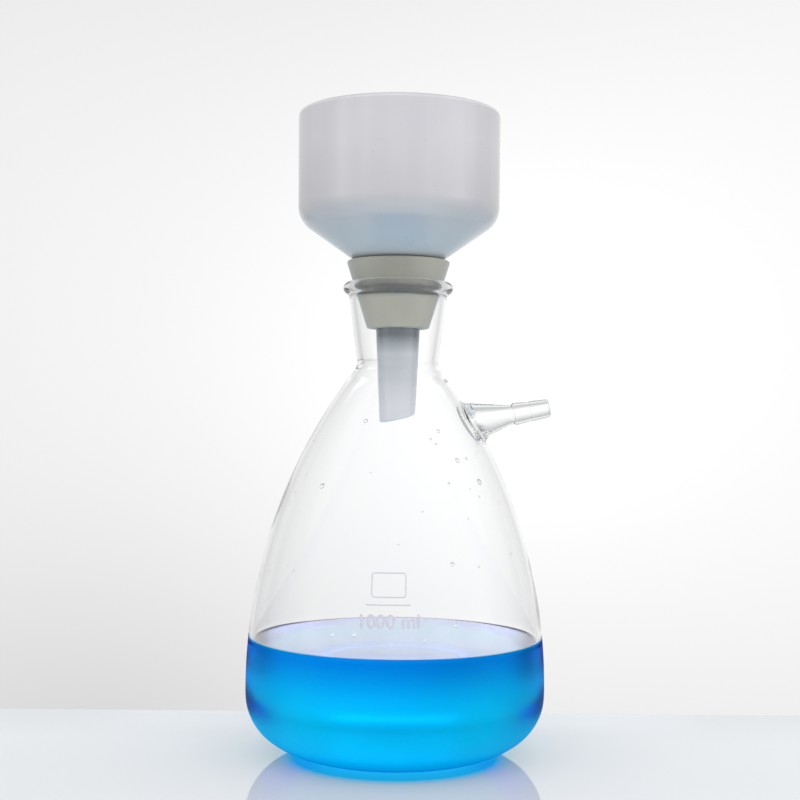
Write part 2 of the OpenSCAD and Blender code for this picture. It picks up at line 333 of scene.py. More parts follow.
def liquid_material():
    """Blue solution that takes out red at once and green little by little.

    Its sides are painted deeper in colour, as shade, towards the top and towards its outline, and rougher
    towards the foot. Its surface is smooth, and painted dark, as shade, where it is seen at a low angle.
    """
    m = Nodes("blue_solution")
    cloud = m.noise(35, detail=2)
    _, _, z = m.axes()
    # painted shade: the sides are deeper in colour towards the top
    rise = m.range(z, 0.021, 0.052, 0.0, 1.0, "SMOOTHSTEP")
    colour = m.mix(rise, (1.0, 1.0, 1.0), (0.5, 0.27, 0.88))
    colour = m.mix(m.range(cloud, 0.35, 0.65, 0.0, 1.0), colour, (0.97, 0.98, 1.0), "MULTIPLY")
    on_top = m.range(z, (FILL_H - 0.06) * MM, (FILL_H - 0.01) * MM, 0.0, 1.0)
    side_soft = m.range(z, 0.018, 0.036, 0.22, 0.04, "SMOOTHSTEP")
    soft = m.maths("ADD", side_soft, m.maths("MULTIPLY", on_top, -0.04))
    # painted shade: the surface is darker where it is seen at a low angle
    facing = m.add("ShaderNodeLayerWeight").outputs["Facing"]
    low_angle_shade = m.range(facing, 0.55, 0.82, 0.0, 1.0)
    top = m.mix(low_angle_shade, (0.6, 0.6, 0.6), (0.10, 0.10, 0.13))
    m.set(
        Base_Color=m.mix(on_top, colour, top),
        Roughness=soft,
        IOR=LIQUID_BEND,
        Specular_Tint=(0, 0, 0, 1),
        Transmission_Weight=1.0,
    )
    volume = m.add("ShaderNodeVolumeAbsorption")
    volume.inputs["Color"].default_value = (0.0, 0.93, 0.998, 1)
    volume.inputs["Density"].default_value = 75
    m.link(volume.outputs["Volume"], m.out.inputs["Volume"])
    # painted shade: light that comes in is deeper in colour towards the outline
    outline_shade = m.mix(m.range(facing, 0.10, 0.6, 0.0, 1.0), (1.0, 1.0, 1.0), (0.9, 0.545, 0.93))
    each_way = m.add("ShaderNodeGamma")
    each_way.inputs["Gamma"].default_value = 0.5
    m.link(colour, each_way.inputs["Color"])
    entering = m.mix(1.0, each_way.outputs[0], outline_shade, "MULTIPLY")
    m.pass_unmirrored(m.maths("SUBTRACT", 1.0, on_top), LIQUID_BEND, entering, soft)
    m.let_lamps_through()
    return m.material


def water_material():
    """Clear water of the droplets."""
    m = Nodes("clear_water")
    m.set(
        Base_Color=m.ramp(m.noise(400), ((0.4, (0.96, 0.985, 1.0)), (0.6, (1, 1, 1)))),
        Roughness=0.0,
        IOR=WATER_BEND,
        Transmission_Weight=1.0,
    )
    m.let_lamps_through()
    return m.material


def froth_material():
    """Whitish film of the small bubbles, with a painted glow."""
    m = Nodes("pale_froth")
    m.set(
        Base_Color=m.ramp(m.noise(900), ((0.4, (0.93, 0.95, 0.98)), (0.6, (0.98, 0.99, 1.0)))),
        Roughness=0.12,
        IOR=WATER_BEND,
        Subsurface_Weight=1.0,
        Subsurface_Scale=0.002,
        Subsurface_Radius=(1, 1, 1),
        Coat_Weight=1.0,
        # painted light: the bubbles glow a little, standing in for light they scatter
        Emission_Color=(0.9, 0.95, 1.0, 1),
        Emission_Strength=0.6,
    )
    return m.material


def enamel_material():
    """Fired enamel print, pale grey-violet, a little worn."""
    m = Nodes("fired_enamel")
    wear = m.noise(1500, detail=3)
    m.set(
        Base_Color=m.ramp(wear, ((0.35, (0.58, 0.57, 0.67)), (0.65, (0.66, 0.65, 0.75)))),
        Roughness=m.range(wear, 0.3, 0.7, 0.3, 0.5),
        Normal=m.bump(wear, 0.2, 0.00005),
    )
    return m.material


def rubber_material():
    """Matt grey-beige rubber, paler inside the neck, with a painted dark shadow band where the rim grips
    it.

    Above the rim it is darker, with painted light that makes it paler towards both sides.
    """
    m = Nodes("grey_rubber")
    cloud = m.noise(70, detail=4)
    grain = m.noise(1800, detail=2)
    x, _, z = m.axes()
    z = m.maths("ADD", z, m.range(cloud, 0.3, 0.7, -0.0004, 0.0004))
    # the rubber is paler inside the neck and darker above the rim
    neck_tone = m.ramp(cloud, ((0.3, (0.55, 0.53, 0.44)), (0.7, (0.62, 0.60, 0.505))))
    upper_tone = m.ramp(cloud, ((0.3, (0.30, 0.30, 0.257)), (0.7, (0.35, 0.35, 0.30))))
    # painted light: above the rim the rubber is paler towards both sides, as if lit from there
    upper_tone = m.mix(m.range(x, 0.003, 0.014, 0.0, 0.7), upper_tone, (0.47, 0.47, 0.41))
    upper_tone = m.mix(m.range(x, -0.014, -0.005, 0.5, 0.0), upper_tone, (0.44, 0.44, 0.38))
    colour = m.mix(m.range(z, 0.1975, 0.1995, 0.0, 1.0), neck_tone, upper_tone)
    # painted shade: a dark shadow band where the glass rim grips the rubber
    colour = m.mix(m.band(z, 0.1988, 0.1996, 0.2027, 0.2036, 0.95), colour, (0.06, 0.06, 0.055))
    m.set(
        Base_Color=m.mix(m.range(grain, 0.3, 0.7, 0.0, 0.2), colour, (0.38, 0.37, 0.32)),
        Roughness=m.range(cloud, 0.3, 0.7, 0.5, 0.68),
        Sheen_Weight=0.9,
        Sheen_Roughness=0.35,
        Normal=m.bump(grain, 0.35, 0.0002),
    )
    return m.material


def porcelain_material():
    """White glazed porcelain with slow waves and faint streaks in its glaze and a few dark specks.

    Its colour changes with height: a pale line at the rim, painted shade low in the bowl, painted bluish
    light and shade on the cone, a painted dark shadow line where the rubber starts, painted shade at the
    top of the free stem and painted light that makes it paler towards the tip.
    """
    m = Nodes("glazed_porcelain")
    cloud = m.noise(22, detail=3)
    specks = m.noise(900, detail=1)
    waves = m.noise(160, detail=2)
    streaks = m.noise(120, detail=1, stretch=(1, 1, 0.03))
    body = m.ramp(cloud, ((0.3, (0.59, 0.58, 0.625)), (0.7, (0.65, 0.645, 0.68))))
    body = m.mix(m.range(streaks, 0.35, 0.65, 0.0, 0.16), body, (0.50, 0.49, 0.50))
    _, _, z = m.axes()
    # painted shade: the bowl is darker towards its knee
    low_bowl_shade = m.range(z, 0.236, 0.262, 0.6, 0.0)
    body = m.mix(low_bowl_shade, body, (0.50, 0.50, 0.52))
    # a pale line just under the rim's top, in patches
    rim = m.band(z, 0.2768, 0.2773, 0.2777, 0.2782, 0.5)
    rim = m.maths("MULTIPLY", rim, m.range(cloud, 0.42, 0.5, 0.0, 1.0))
    body = m.mix(rim, body, (0.80, 0.80, 0.82))
    # painted light and shade: the cone is greyer and bluish, standing in for blue light from the liquid
    # below
    cone = m.range(z, 0.222, 0.237, 0.9, 0.0)
    body = m.mix(cone, body, (0.53, 0.60, 0.64))
    # painted light: the free stem is paler towards its tip, standing in for light from below
    stem = m.range(z, 0.150, 0.188, 1.0, 0.0)
    body = m.mix(stem, body, (0.88, 0.85, 0.88))
    # painted shade: grey shade under the rubber at the top of the free stem
    stem_top_shade = m.band(z, 0.174, 0.182, 0.1850, 0.1855, 0.88)
    body = m.mix(stem_top_shade, body, (0.09, 0.12, 0.14))
    # painted shade: a dark shadow line on the cone where it meets the rubber's mouth
    rubber_shadow_line = m.band(z, 0.2136, 0.2142, 0.2148, 0.2158, 0.9)
    body = m.mix(rubber_shadow_line, body, (0.10, 0.10, 0.07))
    m.set(
        Base_Color=m.mix(m.range(specks, 0.76, 0.80, 0.0, 0.6), body, (0.35, 0.33, 0.32)),
        Roughness=m.range(cloud, 0.3, 0.7, 0.1, 0.2),
        IOR=1.52,
        Coat_Weight=0.4,
        Coat_Roughness=0.06,
        Normal=m.bump(waves, 0.12, 0.0003),
    )
    return m.material


def paper_material():
    """Filter paper: soft white with fibres."""
    m = Nodes("filter_paper")
    fibres = m.noise(900, detail=5, rough=0.7, stretch=(1, 3, 1))
    cloud = m.noise(150, detail=4)
    colour = m.ramp(fibres, ((0.35, (0.74, 0.735, 0.70)), (0.65, (0.84, 0.84, 0.82))))
    m.set(
        Base_Color=m.mix(m.range(cloud, 0.35, 0.65, 0.0, 0.3), colour, (0.70, 0.69, 0.66)),
        Roughness=0.95,
        Normal=m.bump(fibres, 0.5, 0.0003),
    )
    return m.material


# ---------------------------------------------------------------- flask

SEGMENTS = 240
HALF_WINDOW = 16  # columns and rows from the middle of the side arm's window to its edge
WINDOW = range(-HALF_WINDOW, HALF_WINDOW)
SIDE_TOP = math.degrees(math.atan2(SHOULDER_MID[1] - SIDE_MID[1], SHOULDER_MID[0] - SIDE_MID[0]))
ARM_TURN = math.degrees(math.asin((ARM_Z - SIDE_MID[1]) / SIDE_R))
WINDOW_ROW_H = 0.9
ROW_TURN = math.degrees(WINDOW_ROW_H / SIDE_R)
LOW_ROWS, HIGH_ROWS = 32, 9
HEEL_EASE, KNEE_EASE = 2.6, 14  # millimetres and degrees over which each curve eases off
MENISCUS = 0.7
WET_Z = FILL_H + MENISCUS
WET_GLASS_Z, RIM_GLASS_Z = WET_Z + 2, 198


def side_turns():
    """Angles of the rows on the long side curve, close together round the side arm."""
    low, high = ARM_TURN - HALF_WINDOW * ROW_TURN, ARM_TURN + HALF_WINDOW * ROW_TURN
    return (
        [low * i / LOW_ROWS for i in range(LOW_ROWS)]
        + [low + ROW_TURN * i for i in range(2 * HALF_WINDOW)]
        + [high + (SIDE_TOP - high) * i / HIGH_ROWS for i in range(HIGH_ROWS + 1)]
    )


def side_point(turn, inset):
    """The point of the side, `inset` inside its face, at an angle round the middle of its arc."""
    a = math.radians(turn)
    return (SIDE_MID[0] + (SIDE_R - inset) * math.cos(a), SIDE_MID[1] + (SIDE_R - inset) * math.sin(a))


def side_r_at(z, inset):
    """How far from the axis the side is at a height."""
    return SIDE_MID[0] + math.sqrt((SIDE_R - inset) ** 2 - (z - SIDE_MID[1]) ** 2)


def low_line(inset):
    """From the axis under or over the base, round the heel and knee, to the start of the side."""
    dome_r = PUNT_R + inset
    dome_z = PUNT_H - PUNT_R
    edge = math.degrees(math.acos((inset - dome_z) / dome_r))
    edge_r = dome_r * math.sin(math.radians(edge))
    dome = arc((0, dome_z), dome_r, 90, 90 - edge * (1 - HEEL_EASE / edge_r), 1.0)
    dome[0] = (0, dome_z + dome_r)
    return split(
        dome
        + curve(dome[-1], (edge_r, inset), (edge_r + HEEL_EASE, inset), 5)
        + arc(HEEL_MID, HEEL_R - inset, -90, -KNEE_TURN, 2.2)
        + arc(KNEE_MID, KNEE_R - inset, -KNEE_TURN, -KNEE_EASE, 2.5)
        + knee_end(inset),
        3.0,
    )


def knee_end(inset):
    """The last of the knee, straightening little by little into the side as blown glass does."""
    turn = math.radians(KNEE_EASE)
    wall_r, top_z = FLASK_R - inset, SIDE_MID[1]
    low_r = KNEE_MID[0] + (KNEE_R - inset) * math.cos(turn)
    low_z = KNEE_MID[1] - (KNEE_R - inset) * math.sin(turn)
    bend_z = low_z + (wall_r - low_r) / math.tan(turn)
    corners = (low_r, low_z), (wall_r, bend_z), (wall_r, (bend_z + top_z) / 2), (wall_r, top_z)
    return [tuple(p) for p in bezier(*map(Vector, corners), 8)]


def neck_line():
    """From the top of the side over the rim to the top of the inner side."""
    return split(
        arc(SHOULDER_MID, SHOULDER_R, 180 + SIDE_TOP, NECK_FOOT_TURN, 4.0)[1:]
        + arc(UNDER_BEAD_MID, UNDER_BEAD_R, NECK_FOOT_TURN, BEAD_JOIN_TURN, 8.0)
        + arc(BEAD_MID, BEAD_R, BEAD_JOIN_TURN - 180, 90, 8.0)
        + arc(LIP_MID, LIP_R, 90, NECK_FOOT_TURN, 10.0)
        + arc(SHOULDER_MID, SHOULDER_R + GLASS, NECK_FOOT_TURN, 180 + SIDE_TOP, 4.0),
        2.2,
    )[:-1]


ARM_START = Vector((ARM_X, 0, ARM_Z))
ARM_AXIS = Vector((math.cos(math.radians(ARM_SLOPE)), 0, math.sin(math.radians(ARM_SLOPE))))
ARM_SIDE = Vector((0, 1, 0))
ARM_UP = Vector((-ARM_AXIS.z, 0, ARM_AXIS.x))
SPOKES = 8 * HALF_WINDOW
FLARE_ROWS = 18
ROOT_DROP, ROOT_L = 0.45, 15  # the middle of the arm's root lies below the arm's axis
RING_R, RING_IN_R = 10.8, 8.2  # where the flare leaves the outer and the inner wall
PATCH_STEPS = 7


def arm_spoke(i):
    """The direction of spoke i, square to the arm's axis."""
    a = TURN * i / SPOKES
    return ARM_SIDE * math.cos(a) + ARM_UP * math.sin(a)


def arm_point(i, along, radius):
    """The point on spoke i that lies so far along the arm's axis and so far out from it."""
    drop = ROOT_DROP * max(0.0, 1 - along / ROOT_L)
    return ARM_START + ARM_AXIS * along + arm_spoke(i) * radius - ARM_UP * drop


def on_side(i, radius, inset):
    """How far along the arm its spoke i, at that radius, meets the side's surface."""
    low, high = -20.0, 20.0
    for _ in range(50):
        mid = (low + high) / 2
        p = arm_point(i, mid, radius)
        out = math.hypot(math.hypot(p.x, p.y) - SIDE_MID[0], p.z - SIDE_MID[1]) - (SIDE_R - inset)
        low, high = (mid, high) if out < 0 else (low, mid)
    return (low + high) / 2


def side_normal(p):
    """The outward direction of the side at a point on it."""
    flat = math.hypot(p.x, p.y)
    return Vector((
        p.x / flat * (flat - SIDE_MID[0]),
        p.y / flat * (flat - SIDE_MID[0]),
        p.z - SIDE_MID[1],
    )).normalized()


def bezier(a, b, c, d, count):
    """Points on the cubic curve from a to d that heads for b and comes from c."""
    out = []
    for k in range(count + 1):
        t = k / count
        out.append(a * (1 - t) ** 3 + b * (3 * t * (1 - t) ** 2) + c * (3 * t * t * (1 - t)) + d * t ** 3)
    return out


def flare(i, inset, ring_r, reach, cone, pull):
    """From the side's surface at ring_r from the arm's axis, curving onto the cone of the root.

    `reach` is how far along the arm it gets, and `pull` how long it holds its first and last direction.
    """
    along = on_side(i, ring_r, inset)
    foot = arm_point(i, along, ring_r)
    normal = side_normal(foot)
    spoke = arm_spoke(i)
    lean = (ARM_AXIS * spoke.dot(normal) - spoke * ARM_AXIS.dot(normal)).normalized()
    top = along + reach
    end = arm_point(i, top, cone(top))
    back = (arm_point(i, top - 1, cone(top - 1)) - end).normalized()
    return bezier(foot, foot + lean * pull, end + back * pull, end, FLARE_ROWS), top


def root_cone(along):
    """The outer radius of the arm's tapered root."""
    return 8.45 - 0.26 * along


def bore_cone(along):
    """The radius of the bore in the arm's root."""
    return 5.4 - 0.153 * along


# (along, radius) from the root out over the barbs of the hose end and back into the bore.
ARM_LINE = split(rounded([
    (15.2, root_cone(15.2), 0), (16.6, 4.35, 2), (17.7, 4.4, 0.5), (17.95, 4.9, 0.22), (19.0, 4.9, 1.5),
    (25.2, 4.22, 0.5), (25.5, 4.46, 0.2), (26.6, 4.46, 1.5), (ARM_L, 3.95, 0.75), (ARM_L, 2.4, 0.7),
    (ARM_L - 2, 2.4, 4), (ROOT_L, bore_cone(ROOT_L), 0),
], 14.0), 1.6)


def side_patch(bm, cells, inset, ring_r):
    """Rows of vertices on the side's surface, from the window's edge in to the arm's ring."""
    ring = [arm_point(i, on_side(i, ring_r, inset), ring_r) for i in range(SPOKES)]
    rows = []
    for k in range(1, PATCH_STEPS):
        row = []
        for (column, step), p in zip(cells, ring):
            t = k / PATCH_STEPS
            flat = math.hypot(p.x, p.y)
            turn = (1 - t) * TURN * column / SEGMENTS + t * math.atan2(p.y, p.x)
            rise = math.degrees(math.atan2(p.z - SIDE_MID[1], flat - SIDE_MID[0]))
            r, z = side_point((1 - t) * (ARM_TURN + step * ROW_TURN) + t * rise, inset)
            row.append(bm.verts.new((r * math.cos(turn), r * math.sin(turn), z)))
        rows.append(row)
    return rows


def window_cells():
    """(column, row) round the edge of the side arm's window, from +Y on by the top."""
    h = HALF_WINDOW
    return (
        [(h, k) for k in range(h)]
        + [(-k, h) for k in WINDOW]
        + [(-h, -k) for k in WINDOW]
        + [(k, -h) for k in WINDOW]
        + [(h, k) for k in range(-h, 0)]
    )


def arm_rows(bm, cells):
    """Rows of vertices from the outer wall along the side arm, into its bore and to the inner wall."""
    outside = [flare(i, 0, RING_R, 3.9, root_cone, 1.9) for i in range(SPOKES)]
    inside = [flare(i, GLASS, RING_IN_R, 2.6, bore_cone, 1.5) for i in range(SPOKES)]
    rows = side_patch(bm, cells, 0, RING_R)
    rows += [[bm.verts.new(line[k]) for line, top in outside] for k in range(FLARE_ROWS + 1)]
    for k in range(1, 6):
        places = [top + (ARM_LINE[0][0] - top) * k / 6 for line, top in outside]
        rows.append([bm.verts.new(arm_point(i, s, root_cone(s))) for i, s in enumerate(places)])
    for along, radius in ARM_LINE:
        rows.append([bm.verts.new(arm_point(i, along, radius)) for i in range(SPOKES)])
    for k in range(1, 8):
        places = [ROOT_L + (top - ROOT_L) * k / 8 for line, top in inside]
        rows.append([bm.verts.new(arm_point(i, s, bore_cone(s))) for i, s in enumerate(places)])
    rows += [[bm.verts.new(line[k]) for line, top in inside] for k in range(FLARE_ROWS, -1, -1)]
    return rows + side_patch(bm, cells, GLASS, RING_IN_R)[::-1]


FOLDS = ((168.4, 1.7, 0.28, 200), (162.6, 1.7, 0.22, 320))  # height, width, depth, deepest turn
FOLDS_LOW_Z, FOLDS_TOP_Z = 157, 174


def fold_wall(z, row):
    """Pushes a ring of the inner wall in at the folds where the neck was drawn out of the body."""
    for v in row:
        a = math.atan2(v.co.y, v.co.x)
        push = 0
        for middle, width, depth, turn in FOLDS:
            swing = math.cos(a - math.radians(turn))
            push += depth * (1 + 0.6 * swing) * math.exp(-((z - middle - 0.5 * swing) / width) ** 2)
        v.co.xy *= 1 - push / v.co.xy.length


DRY, WET, RIM, JOINT = range(4)  # places in the list of the flask's materials


def build_flask():
    """One closed mesh: the wall is a lathe with a window outside and inside, where the arm grows."""
    bm = bmesh.new()
    turns = side_turns()[1:]
    outer, inner = low_line(0), low_line(GLASS)
    line = outer + [side_point(a, 0) for a in turns]
    neck = neck_line()
    lip = len(line) + neck.index(max(neck, key=lambda p: p[1]))
    line += neck
    turn_back = len(line)
    line += [side_point(a, GLASS) for a in reversed(turns)] + list(reversed(inner))
    rows = [ring_row(bm, r, z, SEGMENTS) for r, z in line]
    for (_, z), row in zip(line[lip:], rows[lip:]):
        if FOLDS_LOW_Z < z < FOLDS_TOP_Z:
            fold_wall(z, row)
    low_out = len(outer) - 1 + LOW_ROWS  # the window's lowest row outside
    high_in = turn_back + len(turns) - LOW_ROWS - 2 * HALF_WINDOW  # and its highest row inside
    hidden = {c % SEGMENTS for c in WINDOW}
    for n, (low, high) in enumerate(zip(rows, rows[1:])):
        shut = n - low_out in range(2 * HALF_WINDOW) or n - high_in in range(2 * HALF_WINDOW)
        top = max(line[n][1], line[n + 1][1])
        finish = WET if top < WET_GLASS_Z else RIM if top > RIM_GLASS_Z else DRY
        bridge(bm, low, high, hidden if shut else (), finish)
    cells = window_cells()
    strip = [[rows[low_out + HALF_WINDOW + k][c % SEGMENTS] for c, k in cells]]
    strip += arm_rows(bm, cells)
    strip.append([rows[high_in + HALF_WINDOW - k][c % SEGMENTS] for c, k in cells])
    for n, (low, high) in enumerate(zip(strip, strip[1:])):
        melted = PATCH_STEPS <= min(n, len(strip) - 2 - n) < PATCH_STEPS + FLARE_ROWS
        bridge(bm, low, high, (), JOINT if melted else DRY)
    glass = [
        glass_material("borosilicate_glass", 0.3),
        glass_material("wetted_glass", 0.05, dull=0.93, tint=(1.0, 0.995, 0.998)),
        glass_material("rim_glass", 1.0),
        glass_material("melted_glass", 0.3, straight=0.6, soft=0.2),
    ]
    return make_piece("flask_glass", bm, glass, "flask")


# ---------------------------------------------------------------- liquid

SOAK = 0.12
MENISCUS_W = 0.7


def build_liquid():
    """The liquid reaches a little way into the glass, so that light goes straight from one to the other.

    Its surface climbs the wall, and most at the left and the right.
    """
    inset = GLASS - SOAK
    count = 8
    wall = low_line(inset) + [
        (side_r_at(z, inset), z)
        for z in [SIDE_MID[1] + (WET_Z - SIDE_MID[1]) * k / count for k in range(1, count + 1)]
    ]
    rim_r = side_r_at(WET_Z, GLASS)
    surface = [
        (rim_r - d, FILL_H + MENISCUS * math.exp(-d / MENISCUS_W))
        for d in (0, 0.15, 0.35, 0.6, 0.9, 1.3, 1.8, 2.4, 3.2, 4.2, 5.5, 7.5, 10)
    ]
    surface += [(r, FILL_H) for r in (45, 35, 25, 15, 7)] + [(0, FILL_H)]
    bm = bmesh.new()
    lathe(bm, wall + surface, SEGMENTS)
    for v in bm.verts:
        if v.co.z > FILL_H + 0.001:
            climb = 0.1 + 0.9 * (v.co.x / v.co.xy.length) ** 4
            v.co.z = FILL_H + (v.co.z - FILL_H) * climb
    return make_piece("filtrate_liquid", bm, [liquid_material()], "filtrate")


# ---------------------------------------------------------------- droplets and bubbles

DROPS = (  # turn from the front towards +X, height, radius
    (-24, 144, 1.0), (-42, 117, 1.2), (30, 140, 0.9), (38, 128, 1.1), (50, 119, 1.3), (24, 87, 0.9),
)
SMALL_DROPS = 20
ARM_CLEAR, MARK_CLEAR, MARK_TOP_Z = 14, 14, 90  # no drop lies this near the arm or on the mark
BUBBLES = ((-27.6, 1, 0.8), (-18, 1, 0.9), (12.5, -13, 0.7), (28, 32, 0.8))  # x, y, radius


def cap_rows(bm, centre, out, radius, height, sunk, count=20, steps=5):
    """A drop's cap: rows from its sunk foot up to the middle of its crown, along the direction out."""
    ball = (radius ** 2 + height ** 2) / (2 * height)
    edge = math.asin(min(1.0, radius / ball))
    side = out.cross(Vector((0.3, 0.2, 1))).normalized()
    across = out.cross(side)

    def ring(r, h):
        turns = [TURN * j / count for j in range(count)]
        return [
            bm.verts.new(centre + out * h + (side * math.cos(a) + across * math.sin(a)) * r) for a in turns
        ]

    rows = [[bm.verts.new(centre - out * sunk)], ring(radius * 0.6, -sunk), ring(radius, -sunk)]
    for k in range(steps):
        a = edge * (1 - k / steps)
        rows.append(ring(ball * math.sin(a), ball * math.cos(a) - ball + height))
    rows.append([bm.verts.new(centre + out * height)])
    return rows


def add_cap(bm, *settings):
    """One closed drop or bubble, with the settings of cap_rows."""
    rows = cap_rows(bm, *settings)
    for low, high in zip(rows, rows[1:]):
        bridge(bm, low, high)


def build_drops():
    """Condensed droplets on the inner wall."""
    bm = bmesh.new()
    dice = random.Random(4)
    drops = list(DROPS)
    for _ in range(SMALL_DROPS):
        drops.append((dice.uniform(-180, 180), dice.uniform(70, 150), dice.uniform(0.3, 0.7)))
    for turn, z, radius in drops:
        a = math.radians(turn)
        if abs(math.sin(a) - 1) < 0.2 and abs(z - ARM_Z) < ARM_CLEAR:
            continue
        if abs(turn - MARK_TURN) < MARK_CLEAR and z < MARK_TOP_Z:
            continue
        r = side_r_at(z, GLASS)
        centre = Vector((r * math.sin(a), -r * math.cos(a), z))
        add_cap(bm, centre, -side_normal(centre), radius, radius * 0.42, 0.1)
    return make_piece("condensed_drops", bm, [water_material()])


def build_bubbles():
    """Small bubbles that float by the wall."""
    bm = bmesh.new()
    for x, y, radius in BUBBLES:
        add_cap(bm, Vector((x, y, FILL_H)), Vector((0, 0, 1)), radius, radius * 0.8, 0.1)
    return make_piece("surface_bubbles", bm, [froth_material()])


# ---------------------------------------------------------------- enamel mark

MARK_PROUD, MARK_SUNK = 0.05, 0.02
MARK_TURN = -2.5
BOX_MID_Z, BOX_W, BOX_H, BOX_R = 79.6, 13.5, 9.4, 1.2
RULE_Z, RULE_W = 71.9, 17.5
NUMBER_Z, NUMBER_H = 62.8, 5.6
STROKE = 0.4


def on_front(p):
    """Wraps a flat point (across, up, out) round the front of the flask."""
    r = side_r_at(p[1], 0)
    a = math.radians(MARK_TURN) + p[0] / r
    reach = r + p[2]
    return Vector((reach * math.sin(a), -reach * math.cos(a), p[1]))


def add_band(bm, points, width, closed):
    """A flat band of enamel along a line on the front of the flask."""
    rows = []
    count = len(points)
    for i, (x, z) in enumerate(points):
        back = points[i - 1] if closed or i else points[i]
        ahead = points[(i + 1) % count] if closed or i < count - 1 else points[i]
        way = (Vector(ahead) - Vector(back)).normalized()
        side = Vector((-way.y, way.x)) * width / 2
        rows.append([
            bm.verts.new(on_front((x + side.x * k, z + side.y * k, h)))
            for k, h in ((1, -MARK_SUNK), (1, MARK_PROUD), (-1, MARK_PROUD), (-1, -MARK_SUNK))
        ])
    for low, high in zip(rows, rows[1:] + (rows[:1] if closed else [])):
        bridge(bm, low, high)
    if not closed:
        bm.faces.new(rows[0])
        bm.faces.new(rows[-1][::-1])


def add_number(bm, text, height, middle_z):
    """The capacity in plain figures, wrapped on the front of the flask."""
    font = bpy.data.curves.new("capacity", "FONT")
    font.body = text
    font.size = height * 1.4
    font.offset = 0.12
    font.align_x = "CENTER"
    font.extrude = (MARK_PROUD + MARK_SUNK) / 2
    font.resolution_u = 3
    holder = bpy.data.objects.new("capacity", font)
    flat = bpy.data.meshes.new_from_object(holder)
    start = len(bm.verts)
    bm.from_mesh(flat)
    bm.verts.ensure_lookup_table()
    out = (MARK_PROUD - MARK_SUNK) / 2
    for v in bm.verts[start:]:
        v.co = on_front((v.co.x, v.co.y + middle_z, v.co.z + out))
    bpy.data.objects.remove(holder)
    bpy.data.curves.remove(font)
    bpy.data.meshes.remove(flat)


def build_mark():
    """A plain outlined write-on box, a ruled line and the capacity, fired on the front of the flask."""
    bm = bmesh.new()
    w, h, r = BOX_W / 2, BOX_H / 2, BOX_R
    box = []
    for x, z, start in ((w - r, h - r, 0), (r - w, h - r, 90), (r - w, r - h, 180), (w - r, r - h, 270)):
        box += arc((x, BOX_MID_Z + z), r, start, start + 90, 15)
    add_band(bm, split(box + box[:1], 1.5)[:-1], STROKE, True)
    add_band(bm, split([(-RULE_W / 2, RULE_Z), (RULE_W / 2, RULE_Z)], 1.0), STROKE, False)
    add_number(bm, "1000 ml", NUMBER_H, NUMBER_Z)
    return make_piece("enamel_mark", bm, [enamel_material()])


# ---------------------------------------------------------------- rubber cone

CONE_Z, CONE_TOP_Z, CONE_LOW_R, CONE_TAPER = 185.1, 214.5, 13.5, 17.3853
CONE_EDGE_R, CONE_MOUTH_R, GRIP_L, SEAT_GAP = 0.8, 18.5051, 5.0, 0.06
STEM_GRIP_R, STEM_TAPER = 9.64, 2.6


def stem_r(z):
    """The outer radius of the funnel's stem at a height."""
    return STEM_GRIP_R + math.tan(math.radians(STEM_TAPER)) * (z - CONE_Z)


def build_rubber_cone():
    """One closed mesh: a hollow cone that grips the stem with a short straight bore."""
    bm = bmesh.new()
    widen = math.tan(math.radians(CONE_TAPER))
    top_r = CONE_LOW_R + widen * (CONE_TOP_Z - CONE_Z)
    line = rounded([
        (stem_r(CONE_Z) + SEAT_GAP + 1.5, CONE_Z, 0),
        (CONE_LOW_R, CONE_Z, CONE_EDGE_R),
        (top_r, CONE_TOP_Z, CONE_EDGE_R),
        (CONE_MOUTH_R, CONE_TOP_Z, CONE_EDGE_R),
        (stem_r(CONE_Z + GRIP_L) + SEAT_GAP, CONE_Z + GRIP_L, 1.0),
        (stem_r(CONE_Z) + SEAT_GAP, CONE_Z, 0.4),
        (stem_r(CONE_Z) + SEAT_GAP + 1.5, CONE_Z, 0),
    ], 12.0)[:-1]
    lathe(bm, split(line + line[:1], 1.5)[:-1], 160)
    return make_piece("rubber_cone_body", bm, [rubber_material()], "rubber_cone")


# ---------------------------------------------------------------- funnel

BOWL_R, BOWL_WALL, RIM_Z, RIM_EDGE_R = 44.1, 3.8, 278.70, 1.9
BOWL_IN_R = BOWL_R - BOWL_WALL
KNEE_AT, KNEE_OUT_R, CONE_SLOPE = (32.4, 238.202), 11.7, 35.0
BLEND_AT, BLEND_R = (14.6198, 206.586), 4.0
APEX_Z = 201.232
STEM_LOW_Z, STEM_WALL = 143.511, 2.9
TIP_CUT, TIP_TURN, TIP_EDGE, TIP_ROOM = 14.5, 208, 0.6, 5
PLATE_Z, PLATE_T, PLATE_CORNER_R = 240.111, 4.0, 2.0
HOLE_R, HOLE_EDGE, RING_PITCH, RING_COUNT = 1.25, 0.3, 6.8, 5
HOLE_SIDES = 20
PAPER_R, PAPER_T, PAPER_GAP = 37.5, 0.4, 0.01
PAPER_STEP, PAPER_SEGMENTS = 0.6, 216
SINK_DEPTH, SINK_W = 0.13, 0.9
FUNNEL_SEGMENTS = 192


def hole_places():
    """(x, y) of every hole in the strainer plate: one in the middle and rings of 6, 12, 18 and so on."""
    out = [(0.0, 0.0)]
    for ring in range(1, RING_COUNT + 1):
        for k in range(6 * ring):
            a = math.radians(60 * k / ring)
            out.append((ring * RING_PITCH * math.cos(a), ring * RING_PITCH * math.sin(a)))
    return out


